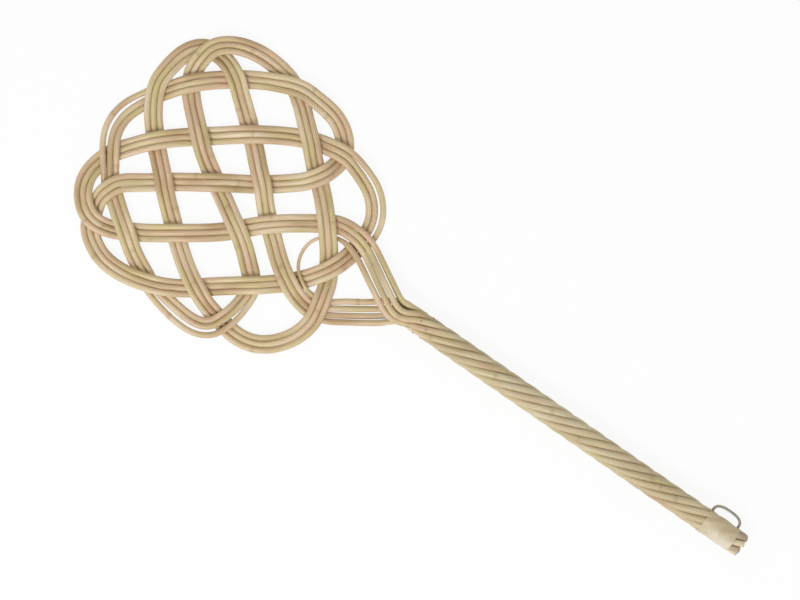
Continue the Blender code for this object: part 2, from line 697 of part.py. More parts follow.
def add_tape(finish, frame):
    """Tape sleeve round the ends of the canes, with the bow's two holes."""
    start = HANDLE_LENGTH - TAPE_LENGTH
    sleeve = turned_bar("end_tape", TAPE_RADIUS, TAPE_SIDES, start, HANDLE_LENGTH, finish, frame)
    along = (Matrix.Translation(((start + HANDLE_LENGTH) / 2, 0.0, AXIS_HEIGHT))
             @ Matrix.Rotation(math.pi / 2, 4, "Y")
             @ Matrix.Rotation(math.pi / TAPE_SIDES, 4, "Z"))
    cut(sleeve, round_cutter("bore_cutter", TAPE_BORE_RADIUS, TAPE_SIDES,
                             TAPE_LENGTH + 2 * CUT_OVERRUN, along, frame))
    hole_radius = (BOW_DIAMETER / 2 + BOW_HOLE_CLEARANCE) / math.cos(math.pi / HOLE_SIDES)
    for number, foot in enumerate(bow_feet()):
        place = (Matrix.Translation((foot, TAPE_RADIUS, AXIS_HEIGHT))
                 @ Matrix.Rotation(math.pi / 2, 4, "X"))
        cut(sleeve, round_cutter(f"bow_hole_cutter_{number + 1}", hole_radius, HOLE_SIDES,
                                 2 * (TAPE_THICKNESS + CUT_OVERRUN), place, frame))


def bow_route():
    """Centre line of the hanging bow: foot, flattened arch, foot."""
    near, far = bow_feet()
    middle, half = (near + far) / 2, (far - near) / 2
    turn = np.linspace(math.pi, 0.0, BOW_ARCH_POINTS)
    power = 2 / BOW_SQUARENESS
    x = middle + half * np.sign(np.cos(turn)) * np.abs(np.cos(turn)) ** power
    y = TAPE_RADIUS + BOW_RISE * np.abs(np.sin(turn)) ** power
    feet_y = TAPE_BORE_RADIUS
    x = np.concatenate(([near], x, [far]))
    y = np.concatenate(([feet_y], y, [feet_y]))
    return np.column_stack((x, y, np.full_like(x, AXIS_HEIGHT)))


def settle(frame):
    """Bring the middle of the part's underside to the origin."""
    bpy.context.view_layer.update()
    seen = bpy.context.evaluated_depsgraph_get()
    corners = []
    for piece in bpy.data.objects:
        if piece.type in {"MESH", "CURVE"} and not piece.hide_render:
            evaluated = piece.evaluated_get(seen)
            mesh = evaluated.to_mesh()
            corners.extend(piece.matrix_world @ vertex.co for vertex in mesh.vertices)
            evaluated.to_mesh_clear()
    corners = np.array(corners)
    low, high = corners.min(axis=0), corners.max(axis=0)
    frame.location = (-(low[0] + high[0]) / 2, -(low[1] + high[1]) / 2, -low[2])
    bpy.context.view_layer.update()


def main():
    """Build the carpet beater."""
    for old in list(bpy.data.objects):
        bpy.data.objects.remove(old, do_unlink=True)
    frame = bpy.data.objects.new("frame", None)
    bpy.context.scene.collection.objects.link(frame)
    finishes = {name: material(name) for name in MATERIALS}
    routes, radii = cane_routes()
    canes = [add_cane(name, route, radius, finishes["peeled_rattan"], frame)
             for name, route, radius in zip(LONG_CANES + (LOOP_CANE,), routes, radii)]
    core_end = HANDLE_LENGTH + CANE_END_OVERHANG - CORE_END_INSET
    core = turned_bar("core_stick", CORE_RADIUS, CORE_SIDES, -CORE_LEAD, core_end,
                      finishes["core_rattan"], frame)
    pin_canes(canes, core, routes, finishes["steel_wire"], frame)
    add_tape(finishes["paper_tape"], frame)
    bow = bow_route()
    add_object("hanging_bow", tube_data("hanging_bow", bow, np.full(len(bow), BOW_DIAMETER / 2),
                                        BOW_BEVEL_STEPS), finishes["waxed_cord"], frame)
    settle(frame)


main()
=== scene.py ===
"""Looks of a rattan carpet beater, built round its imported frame.

The frame gives the place and thickness of every piece. The canes' centre lines
are read from the frame's own canes, faired, and made into round peeled canes
with knuckles, grain and cut ends.
"""
import math

import bmesh
import bpy
import numpy as np
from mathutils import Matrix, Vector
from mathutils.kdtree import KDTree


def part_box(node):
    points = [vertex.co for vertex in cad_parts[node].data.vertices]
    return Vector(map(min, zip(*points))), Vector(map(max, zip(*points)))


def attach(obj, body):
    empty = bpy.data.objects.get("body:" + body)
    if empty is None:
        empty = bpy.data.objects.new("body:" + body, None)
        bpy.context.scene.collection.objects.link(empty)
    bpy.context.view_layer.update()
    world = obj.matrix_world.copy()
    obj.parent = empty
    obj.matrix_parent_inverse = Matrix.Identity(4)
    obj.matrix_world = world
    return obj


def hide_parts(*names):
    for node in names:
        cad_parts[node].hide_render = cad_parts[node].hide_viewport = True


bl_info = {
    "name": "Rattan Carpet Beater",
    "version": (1, 0, 0),
    "blender": (4, 5, 0),
    "location": "View3D > Sidebar > Carpet Beater",
    "description": "Builds the canes, stick, brads, tape and bow of a rattan carpet beater",
    "category": "Add Mesh",
}

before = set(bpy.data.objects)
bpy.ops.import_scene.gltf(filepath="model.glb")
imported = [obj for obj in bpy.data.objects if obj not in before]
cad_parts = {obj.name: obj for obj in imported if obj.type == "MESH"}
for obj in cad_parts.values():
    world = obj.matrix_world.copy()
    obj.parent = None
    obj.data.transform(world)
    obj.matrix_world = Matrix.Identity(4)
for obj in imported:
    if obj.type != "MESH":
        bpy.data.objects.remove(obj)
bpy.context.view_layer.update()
BODY = "root"
STICK_LOW, STICK_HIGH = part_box("core_stick")
TAPE_LOW, TAPE_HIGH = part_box("end_tape")

CANES = ("outer_cane", "middle_cane", "inner_cane", "neck_loop_cane")

# The photograph: its size in pixels, the real size of one pixel, the slope of the
# handle and the pixel where the core stick's near end lies on the handle's axis
PHOTO_SIZE = (800, 600)
PIXEL_SIZE = 0.0009125
HANDLE_SLOPE_DEGREES = 34.7
STICK_END_PIXEL = (397.2, 307.3)


def linear(code):
    """Linear colour of an sRGB hex value."""
    parts = [int(code[place:place + 2], 16) / 255 for place in (0, 2, 4)]
    return tuple(part / 12.92 if part <= 0.04045 else ((part + 0.055) / 1.055) ** 2.4
                 for part in parts)


class CaneSettings(bpy.types.PropertyGroup):
    """Sizes and colours of the peeled rattan canes."""

    swell: bpy.props.FloatProperty(
        name="Swell", description="How much wider a cane is than in the frame",
        default=0.0006, unit="LENGTH")
    end_swell: bpy.props.FloatProperty(
        name="End Swell", description="The same at the handle's end, where the canes are dressed",
        default=0.0001, unit="LENGTH")
    gap: bpy.props.FloatProperty(
        name="Gap", description="Least gap left between two canes",
        default=0.00003, unit="LENGTH")
    wander: bpy.props.FloatProperty(
        name="Wander", description="How far a cane strays from its even course in the head",
        default=0.0006, unit="LENGTH")
    wander_run: bpy.props.FloatProperty(
        name="Wander Run", description="Length over which a cane strays and comes back",
        default=0.045, unit="LENGTH")
    sides: bpy.props.IntProperty(
        name="Sides", description="Faces round a cane", default=20, min=8)
    ring_step: bpy.props.FloatProperty(
        name="Ring Step", description="Distance between the rings of a cane",
        default=0.0020, unit="LENGTH")
    knuckle_spacing: bpy.props.FloatProperty(
        name="Knuckle Spacing", description="Usual distance between two knuckles of a cane",
        default=0.210, unit="LENGTH")
    knuckle_length: bpy.props.FloatProperty(
        name="Knuckle Length", description="Length of the swelling at a knuckle",
        default=0.0022, unit="LENGTH")
    knuckle_rise: bpy.props.FloatProperty(
        name="Knuckle Rise", description="Height of the ridge at a knuckle",
        default=0.00016, unit="LENGTH")
    unevenness: bpy.props.FloatProperty(
        name="Unevenness", description="How unevenly thick and round a cane is",
        default=0.020, subtype="FACTOR", min=0.0, max=0.1)
    tan: bpy.props.FloatVectorProperty(
        name="Tan", description="Main colour of the peeled cane",
        default=linear("D9C39D"), subtype="COLOR")
    straw: bpy.props.FloatVectorProperty(
        name="Straw", description="Yellower stretches of the cane",
        default=linear("D5C592"), subtype="COLOR")
    blush: bpy.props.FloatVectorProperty(
        name="Blush", description="Pinker stretches of the cane",
        default=linear("DEC0A1"), subtype="COLOR")
    pale: bpy.props.FloatVectorProperty(
        name="Pale", description="Stretches where the sander has taken more off",
        default=linear("EBDCBC"), subtype="COLOR")
    deep: bpy.props.FloatVectorProperty(
        name="Deep", description="Stretches that kept more of their outer layer",
        default=linear("BB9F73"), subtype="COLOR")
    handled: bpy.props.FloatVectorProperty(
        name="Handled", description="Canes of the handle, dulled by hands",
        default=linear("CFC9A8"), subtype="COLOR")
    grip: bpy.props.FloatVectorProperty(
        name="Grip", description="Brown that the hand leaves on its usual place",
        default=linear("A58B64"), subtype="COLOR")
    fibre: bpy.props.FloatVectorProperty(
        name="Fibre", description="Darker fibres and the skin left at the knuckles",
        default=linear("A88A5E"), subtype="COLOR")
    cut_end: bpy.props.FloatVectorProperty(
        name="Cut End", description="Sawn end of a cane",
        default=linear("8A6E4C"), subtype="COLOR")
    # Colour that the cane ends past the tape are made darker toward
    end_tone: bpy.props.FloatVectorProperty(
        name="Stain", description="Cane ends past the tape, darkened by handling",
        default=linear("B5A48D"), subtype="COLOR")
    end_tone_run: bpy.props.FloatProperty(
        name="Stain Run", description="Length over which a cane end darkens",
        default=0.002, unit="LENGTH")
    rise: bpy.props.FloatProperty(
        name="Rise", description="How far a cane rides above or below its even course",
        default=0.0010, unit="LENGTH")


class TapeSettings(bpy.types.PropertyGroup):
    """Sizes and colours of the tape round the handle's end."""

    width: bpy.props.FloatProperty(
        name="Width", description="Width of the tape", default=0.0130, unit="LENGTH")
    overlap: bpy.props.FloatProperty(
        name="Overlap", description="How far each turn of tape lies on the last",
        default=0.0035, unit="LENGTH")
    thickness: bpy.props.FloatProperty(
        name="Thickness", description="Thickness of one layer of tape",
        default=0.00022, unit="LENGTH")
    colour: bpy.props.FloatVectorProperty(
        name="Colour", description="Colour of the tape",
        default=linear("E6DBC4"), subtype="COLOR")
    # Used for the soiled patches, and as painted shade in the hollows between the threads
    shade: bpy.props.FloatVectorProperty(
        name="Shade", description="Colour of the tape in its folds and soiled places",
        default=linear("BFAE8C"), subtype="COLOR")
    # Painted shade: this colour darkens the tape's side with the bow, away from the light; it also
    # browns the edge toward the grip, where hands soil it
    painted_shade_and_held: bpy.props.FloatVectorProperty(
        name="Held", description="Colour of the tape's side that the hand has browned",
        default=linear("D0BD96"), subtype="COLOR")


class SmallPartSettings(bpy.types.PropertyGroup):
    """Sizes and colours of the core stick, the brads and the hanging bow."""

    stick: bpy.props.FloatVectorProperty(
        name="Stick", description="Colour of the raw core stick",
        default=linear("B3915F"), subtype="COLOR")
    brad_head: bpy.props.FloatProperty(
        name="Brad Head", description="Diameter of a brad's head",
        default=0.0016, unit="LENGTH")
    steel: bpy.props.FloatVectorProperty(
        name="Steel", description="Colour of the brads",
        default=linear("A79E90"), subtype="COLOR")
    plies: bpy.props.IntProperty(
        name="Plies", description="Yarns twisted into the bow's cord", default=3, min=2)
    cord_width: bpy.props.FloatProperty(
        name="Cord Width", description="Diameter of the bow's cord",
        default=0.0028, unit="LENGTH")
    ply_pitch: bpy.props.FloatProperty(
        name="Ply Pitch", description="Length of one turn of the cord's twist",
        default=0.0068, unit="LENGTH")
    cord: bpy.props.FloatVectorProperty(
        name="Cord", description="Colour of the waxed cord",
        default=linear("ABA798"), subtype="COLOR")


class StageSettings(bpy.types.PropertyGroup):
    """Floor, lights and camera."""

    floor: bpy.props.FloatVectorProperty(
        name="Floor", description="Colour of the floor",
        default=linear("FBFBFA"), subtype="COLOR")
    lens: bpy.props.FloatProperty(
        name="Lens", description="Focal length in millimetres", default=100.0, unit="CAMERA")
    floor_glow: bpy.props.FloatProperty(
        name="Floor Glow", description="Share of the floor's white that is plain light",
        default=0.90, subtype="FACTOR", min=0.0, max=1.0)
    sky: bpy.props.FloatProperty(
        name="Sky", description="Strength of the light from all sides", default=0.62)
    key: bpy.props.FloatProperty(
        name="Key", description="Power of the main soft light", default=20.0, unit="POWER")


class BeaterSettings(bpy.types.PropertyGroup):
    """All settings of the carpet beater."""

    canes: bpy.props.PointerProperty(type=CaneSettings)
    tape: bpy.props.PointerProperty(type=TapeSettings)
    small: bpy.props.PointerProperty(type=SmallPartSettings)
    stage: bpy.props.PointerProperty(type=StageSettings)


def settings():
    """The scene's settings of the carpet beater."""
    return bpy.context.scene.carpet_beater


# Centre lines of the frame's canes

# Cane ends round the handle, and sides of the frame's canes and bow
CANES_ROUND = 8
CANE_SIDES = 6
BOW_SIDES = 8
# How the frame's rings of vertices and its end faces are told from the rest
WELD_DECIMALS = 6
RING_EVENNESS = 0.02
END_FACING = 0.9
END_SPREAD = 0.015
TO_HANDLE_END = np.array((1.0, 0.0, 0.0))
# Length of the neck, where the canes gather, and the place where their spiral starts
NECK_LENGTH = 0.0220
SPIRAL_START = STICK_LOW.x + NECK_LENGTH
SPIRAL_TOLERANCE = 0.0005
SPIRAL_STEP = 0.0020
# Middle of the handle, across it and upward
HANDLE_MIDDLE = np.array(((STICK_LOW.y + STICK_HIGH.y) / 2, (STICK_LOW.z + STICK_HIGH.z) / 2))


def rings_from(start, links, points, sides):
    """Rings of vertices, with how many edges lie between each and the start."""
    seen, level, number = set(start), set(start), 0
    found = {}
    while level:
        ring = points[sorted(level)]
        reach = np.linalg.norm(ring - ring.mean(axis=0), axis=1)
        if len(level) == sides and np.ptp(reach) < RING_EVENNESS * reach.mean():
            found[frozenset(level)] = number
        level = set().union(*(links[vertex] for vertex in level)) - seen
        seen |= level
        number += 1
    return found


def ring_centres(node, toward, depth, sides):
    """Centres and radii of the rings of vertices that make up a tube of the frame.

    Both of its ends face toward a direction and lie within a depth of the tip.
    The end that reaches furthest comes first. The rings are counted off from
    each end, because the holes for the brads upset the count for a few rings
    behind them.
    """
    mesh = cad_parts[node].data
    places = np.array([vertex.co for vertex in mesh.vertices])
    points, weld = np.unique(np.round(places, WELD_DECIMALS), axis=0, return_inverse=True)
    weld = weld.ravel()
    links = [set() for _ in points]
    groups = []
    tip = (places @ toward).max()
    for face in mesh.polygons:
        corners = [int(weld[vertex]) for vertex in face.vertices]
        for number, corner in enumerate(corners):
            links[corner].add(corners[number - 1])
            links[corners[number - 1]].add(corner)
        if np.dot(face.normal, toward) > END_FACING and np.dot(face.center, toward) > tip - depth:
            joined = [group for group in groups if group & set(corners)]
            groups = [group for group in groups if group not in joined]
            groups.append(set(corners).union(*joined))
    groups = [group for group in groups if len(group) == sides]
    if len(groups) != 2:
        raise RuntimeError(f"{node} has {len(groups)} ends")
    groups.sort(key=lambda group: -(points[sorted(group)] @ toward).max())
    near, far = (rings_from(group, links, points, sides) for group in groups)
    total = int(np.median([near[ring] + far[ring] for ring in near.keys() & far.keys()]))
    order = {total - level: ring for ring, level in far.items()}
    order.update({level: ring for ring, level in near.items()})
    rings = np.array([points[sorted(order[level])] for level in sorted(order)])
    centres = rings.mean(axis=1)
    return centres, np.linalg.norm(rings - centres[:, None], axis=2).mean(axis=1)


def cane_rings(name):
    """Ring centres and radii of a cane, which starts and stops at the handle's end."""
    return ring_centres(name, TO_HANDLE_END, END_SPREAD, CANE_SIDES)


def spline(points, along, wanted):
    """Natural cubic spline through points at places along a line."""
    gaps = np.diff(along)
    count = len(points)
    inner = np.arange(1, count - 1)
    matrix = np.zeros((count, count))
    matrix[0, 0] = matrix[-1, -1] = 1
    matrix[inner, inner - 1] = gaps[:-1]
    matrix[inner, inner] = 2 * (gaps[:-1] + gaps[1:])
    matrix[inner, inner + 1] = gaps[1:]
    right = np.zeros_like(points)
    right[1:-1] = 6 * np.diff(np.diff(points, axis=0) / gaps[:, None], axis=0)
    bend = np.linalg.solve(matrix, right)
    cell = np.clip(np.searchsorted(along, wanted, "right") - 1, 0, count - 2)
    gap = gaps[cell][:, None]
    before, after = (wanted - along[cell])[:, None], (along[cell + 1] - wanted)[:, None]
    return ((bend[cell] * after ** 3 + bend[cell + 1] * before ** 3) / (6 * gap)
            + (points[cell] / gap - bend[cell] * gap / 6) * after
            + (points[cell + 1] / gap - bend[cell + 1] * gap / 6) * before)


def round_handle(x, turn, reach):
    """Points along the handle at a turn round its middle and a distance from it."""
    return np.stack((x, HANDLE_MIDDLE[0] + reach * np.cos(turn),
                     HANDLE_MIDDLE[1] + reach * np.sin(turn)), axis=-1)


def turns_of(centres):
    """Turn of each point round the handle's middle, and its distance from it."""
    beside = centres[:, 1:] - HANDLE_MIDDLE
    return np.unwrap(np.arctan2(beside[:, 1], beside[:, 0])), np.linalg.norm(beside, axis=1)


def spiral_leg(centres, radii, far, rate):
    """Even spiral through the rings of one cane end in the handle, out to a far end."""
    turn, reach = turns_of(centres)
    phase = np.median(turn - rate * centres[:, 0])
    x = even_places(SPIRAL_START, far, SPIRAL_STEP)
    order = np.argsort(centres[:, 0])
    return (round_handle(x, rate * x + phase, np.median(reach)),
            np.interp(x, centres[order, 0], radii[order]))


def handle_spiral():
    """Turn of the canes per metre of handle, turn of one of them at x = 0, and lay radius."""
    centres = cane_rings("middle_cane")[0]
    leg = centres[:next(number for number, centre in enumerate(centres) if centre[0] < 0)]
    turn, reach = turns_of(leg)
    rate, phase = np.polyfit(leg[:, 0], turn, 1)
    return rate, phase, np.median(reach)


def cane_course(name, rate):
    """Fine centre line and radii of one cane of the frame."""
    centres, radii = cane_rings(name)
    inside = centres[:, 0] > SPIRAL_START - SPIRAL_TOLERANCE
    first = int(np.argmin(inside))
    last = len(inside) - int(np.argmin(inside[::-1]))
    near, near_thick = spiral_leg(centres[:first], radii[:first], centres[0, 0], rate)
    far, far_thick = spiral_leg(centres[last:], radii[last:], centres[-1, 0], rate)
    points = np.vstack((near[::-1], centres[first:last], far))
    thick = np.concatenate((near_thick[::-1], radii[first:last], far_thick))
    along = lengths_along(points)
    even = even_places(0.0, along[-1], SETTLE_STEP)
    return spline(points, along, even), np.interp(even, along, thick)


def averaged(values, width, step):
    """Values along an even line, averaged with their neighbours over a width."""
    reach = int(3 * width / step)
    weights = np.exp(-0.5 * (np.arange(-reach, reach + 1) * step / width) ** 2)
    weights /= weights.sum()
    columns = values.reshape(len(values), -1)
    start = 2 * columns[0] - columns[1:reach + 1][::-1]
    end = 2 * columns[-1] - columns[-reach - 1:-1][::-1]
    padded = np.concatenate((start, columns, end))
    smooth = np.column_stack([np.convolve(column, weights, "valid") for column in padded.T])
    return smooth.reshape(values.shape)


def lengths_along(line):
    """Distance along a line to each of its points."""
    return np.concatenate(([0.0], np.cumsum(np.linalg.norm(np.diff(line, axis=0), axis=1))))


def even_places(start, end, step):
    """Even places from a start to an end, about a step apart."""
    return np.linspace(start, end, round((end - start) / step) + 1)


def resampled(line, values, step):
    """A line and values along it at even distances of about a step."""
    along = lengths_along(line)
    even = even_places(0.0, along[-1], step)
    columns = np.column_stack((line, values))
    fine = np.column_stack([np.interp(even, along, column) for column in columns.T])
    return fine[:, :3], fine[:, 3]


def smooth_noise(count, width, step, source):
    """Random values between -1 and 1 that change slowly along a line."""
    raw = averaged(source.normal(size=count + 1), width / 3, step)[:count]
    return raw / np.abs(raw).max()


# Settling the canes against each other

WANDER_SEED = 11
SETTLE_STEP = 0.00125
SETTLE_ROUNDS = 90
# Length along a cane over which a shift is spread, and its factor of overshoot
SHIFT_WIDTH = 0.0036
OVERSHOOT = 1.5
# Gap up to which two places make a pair, and least length between them along one cane
PAIR_MARGIN = 0.0026
SAME_CANE_SKIP = 0.020
# Run over which the canes get free to move, from the handle on
FREE_RUN = 0.010
# Least height of a cane's middle above the floor, in its radii
FLOOR_EASE = 1.06


def neighbour_pairs(points, cane, place, reach):
    """Pairs of points that could touch, apart from neighbours on one cane."""
    tree = KDTree(len(points))
    for number, point in enumerate(points):
        tree.insert(point, number)
    tree.balance()
    first, second = np.array([(number, other) for number, point in enumerate(points)
                              for _, other, _ in tree.find_range(point, reach)
                              if other > number]).T
    beside = (cane[first] == cane[second]) & (np.abs(place[first] - place[second]) < SAME_CANE_SKIP)
    return first[~beside], second[~beside]


def settled(lines, radii, gap):
    """Lines moved just clear of each other and of the floor, by smooth shifts."""
    counts = [len(line) for line in lines]
    ends = np.cumsum(counts)[:-1]
    start, thick = np.vstack(lines), np.concatenate(radii)
    cane = np.repeat(np.arange(len(lines)), counts)
    place = np.concatenate([lengths_along(line) for line in lines])
    free = np.clip((SPIRAL_START - start[:, 0]) / FREE_RUN, 0.0, 1.0)[:, None]
    first, second = neighbour_pairs(start, cane, place, 2 * thick.max() + PAIR_MARGIN)
    wanted = thick[first] + thick[second] + gap
    shift = np.zeros_like(start)
    for _ in range(SETTLE_ROUNDS):
        points = start + shift
        away = points[first] - points[second]
        distance = np.linalg.norm(away, axis=1)
        short = wanted - distance
        tight = short > 0
        push = away[tight] * (short[tight] / distance[tight] / 2)[:, None]
        move, count = np.zeros_like(start), np.zeros(len(start))
        for numbers, sign in ((first[tight], 1), (second[tight], -1)):
            np.add.at(move, numbers, sign * push)
            np.add.at(count, numbers, 1)
        move = move / np.maximum(count, 1)[:, None]
        rest = thick * FLOOR_EASE
        low = points[:, 2] < rest
        move[low, 2] += (rest - points[:, 2])[low]
        move *= free * OVERSHOOT
        shift += np.vstack([averaged(part, SHIFT_WIDTH, SETTLE_STEP)
                            for part in np.split(move, ends)])
    return np.split(start + shift, ends)


def swell_at(x):
    """How much wider a cane is than in the frame, less so from the tape's near edge on."""
    chosen = settings().canes
    share = np.clip((x - TAPE_LOW.x) / (TAPE_HIGH.x - TAPE_LOW.x), 0.0, 1.0)
    return chosen.swell + (chosen.end_swell - chosen.swell) * share


def cane_lines():
    """Centre lines and radii of all four canes, settled against each other."""
    chosen = settings().canes
    source = np.random.default_rng(WANDER_SEED)
    rate = handle_spiral()[0]
    lines, radii = [], []
    for name in CANES:
        line, radius = cane_course(name, rate)
        radii.append(radius + swell_at(line[:, 0]) / 2)
        inward = np.clip((STICK_LOW.x - line[:, 0]) / FREE_RUN, 0.0, 1.0)
        for axis, size in enumerate((chosen.wander, chosen.wander, chosen.rise)):
            noise = smooth_noise(len(line), chosen.wander_run, SETTLE_STEP, source)
            line[:, axis] += size * inward * noise
        lines.append(line)
    return settled(lines, radii, chosen.gap), radii


# Meshes

# Depth and width of the softened rim of a cut end
END_DEPTH = 0.0003
END_SHRINK = 0.72
STRIP_MARGIN = 0.03
CAP_REACH = 0.45


def moving_frames(line):
    """Unit directions along a line, and two across it that turn as little as possible."""
    heading = np.gradient(line, axis=0)
    heading /= np.linalg.norm(heading, axis=1)[:, None]
    side = np.cross(heading[0], (0.0, 0.0, 1.0))
    sides = []
    for direction in heading:
        side = side - direction * np.dot(side, direction)
        side /= np.linalg.norm(side)
        sides.append(side)
    return heading, np.array(sides), np.cross(heading, sides)


def ring_quads(rows, around):
    """Faces that join each row of vertices to the next, all the way around."""
    return [(row * around + step, row * around + (step + 1) % around,
             (row + 1) * around + (step + 1) % around, (row + 1) * around + step)
            for row in range(rows - 1) for step in range(around)]


def add_marks(mesh, name, values):
    """Give each vertex a number, or a vector, under the name that a material reads."""
    kind, field = ("FLOAT", "value") if values.ndim == 1 else ("FLOAT_VECTOR", "vector")
    mesh.attributes.new(name, kind, "POINT").data.foreach_set(field, values.ravel())


def tube(name, line, rings, strips):
    """A closed tube along a line, each ring given by its radii, with softened cut ends.

    It has the place along and across the cane in the attribute grain, its cut
    ends in the second material slot and a map of strips for baking.
    """
    sides = rings.shape[1]
    heading, side, up = moving_frames(line)
    line = np.vstack((line[0] - heading[0] * END_DEPTH, line, line[-1] + heading[-1] * END_DEPTH))
    side, up = (np.vstack((way[0], way, way[-1])) for way in (side, up))
    rings = np.vstack((rings[0] * END_SHRINK, rings, rings[-1] * END_SHRINK))
    along = lengths_along(line)
    turn = np.arange(sides) * math.tau / sides
    across = np.dstack((rings * np.cos(turn), rings * np.sin(turn)))
    points = line[:, None] + across[:, :, :1] * side[:, None] + across[:, :, 1:] * up[:, None]
    vertices = np.vstack((points.reshape(-1, 3), line[0], line[-1]))
    quads = ring_quads(len(line), sides)
    last = len(vertices) - 1
    first, top = last - 1, last - 1 - sides
    caps = [(first, (step + 1) % sides, step) for step in range(sides)]
    caps += [(last, top + step, top + (step + 1) % sides) for step in range(sides)]
    mesh = bpy.data.meshes.new(name)
    mesh.from_pydata(vertices.tolist(), [], quads + caps)
    grain = np.zeros_like(vertices)
    grain[:-2, 0] = np.repeat(along, sides)
    grain[:-2, 1:] = across.reshape(-1, 2)
    grain[-1, 0] = along[-1]
    add_marks(mesh, "grain", grain)
    mesh.polygons.foreach_set("material_index", [0] * len(quads) + [1] * len(caps))
    add_strip_map(mesh, len(line) - 1, sides, strips)
    mesh.shade_smooth()
    return mesh


def add_strip_map(mesh, spans, sides, strips):
    """Map for baking: the tube's length laid out in strips, one over another."""
    per_strip = math.ceil(spans / strips)
    height = 1 / (strips + 1)
    places = []
    for span in range(spans):
        strip, part = divmod(span, per_strip)
        left, right = part / per_strip, (part + 1) / per_strip
        edges = [(strip + STRIP_MARGIN + (1 - 2 * STRIP_MARGIN) * step / sides) * height
                 for step in range(sides + 1)]
        for low, high in zip(edges, edges[1:]):
            places += [(left, low), (left, high), (right, high), (right, low)]
    for end, order in enumerate((-1, 1)):
        middle = ((end + 0.5) * height, 1 - height / 2)
        rim = [(middle[0] + CAP_REACH * height * math.cos(step * math.tau / sides),
                middle[1] + CAP_REACH * height * math.sin(step * math.tau / sides))
               for step in range(sides + 1)]
        for pair in zip(rim, rim[1:]):
            places += [middle, *pair[::order]]
    layer = mesh.uv_layers.new(name="OFBake")
    layer.data.foreach_set("uv", np.array(places).ravel())


def put_in_scene(name, data):
    """A new object, linked to the scene."""
    thing = bpy.data.objects.new(name, data)
    bpy.context.scene.collection.objects.link(thing)
    return thing


def place_piece(name, mesh, materials, nodes):
    """Put a piece in the scene on the frame's body, in place of its nodes."""
    for material in materials:
        mesh.materials.append(material)
    piece = put_in_scene(name, mesh)
    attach(piece, BODY)
    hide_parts(*nodes)


# Materials

WHITE = (1.0, 1.0, 1.0, 1.0)
# Shift along the grain from one cane's pattern to the next
CANE_SHIFT = 0.37
PORE_SPACING = 0.0005
THREAD_SPACING = 0.0005
# Width of one band of the wave pattern at scale 1
WAVE_UNIT = math.pi / 10
TAPE_PATCH = 0.012
# Length over which the tape is browned from the edge toward the grip
BROWNED_RUN = 0.016
# Width of the die's marks, drawn coarser than the real 0.05 mm
DIE_MARK = 0.0006


def fill(tree, node, inputs):
    """Fill a node's sockets from values or from other nodes."""
    for name, value in inputs.items():
        if isinstance(value, bpy.types.NodeSocket):
            tree.links.new(value, node.inputs[name])
        else:
            node.inputs[name].default_value = value


def add_node(tree, kind, inputs=None, **choices):
    """Add a node with its choices and inputs, and give its outputs."""
    node = tree.nodes.new(kind)
    for name, value in choices.items():
        setattr(node, name, value)
    fill(tree, node, inputs or {})
    return node.outputs


def new_material(name):
    """A material, its tree and its Principled shader."""
    material = bpy.data.materials.new(name)
    material.use_nodes = True
    return material, material.node_tree, material.node_tree.nodes["Principled BSDF"]


def streaks(tree, place, along, across, detail):
    """Noise drawn out along the grain, from the length and width of its streaks in mm."""
    scaled = add_node(tree, "ShaderNodeVectorMath",
                      {0: place, 1: (1000 / along, 1000 / across, 1000 / across)},
                      operation="MULTIPLY")[0]
    return add_node(tree, "ShaderNodeTexNoise",
                    {"Vector": scaled, "Scale": 1.0, "Detail": detail})["Fac"]


def laid_over(tree, colour, layers):
    """A colour with tints laid over it.

    A layer is a value, the value where the tint begins and the one where it is
    full, the share of the tint there, and the tint.
    """
    colour = (*colour, 1.0)
    for value, start, full, most, tint in layers:
        share = add_node(tree, "ShaderNodeMapRange", {"Value": value, "From Min": start,
                                                      "From Max": full, "To Max": most})[0]
        colour = add_node(tree, "ShaderNodeMix", {"Factor": share, 6: colour, 7: (*tint, 1.0)},
                          data_type="RGBA")[2]
    return colour


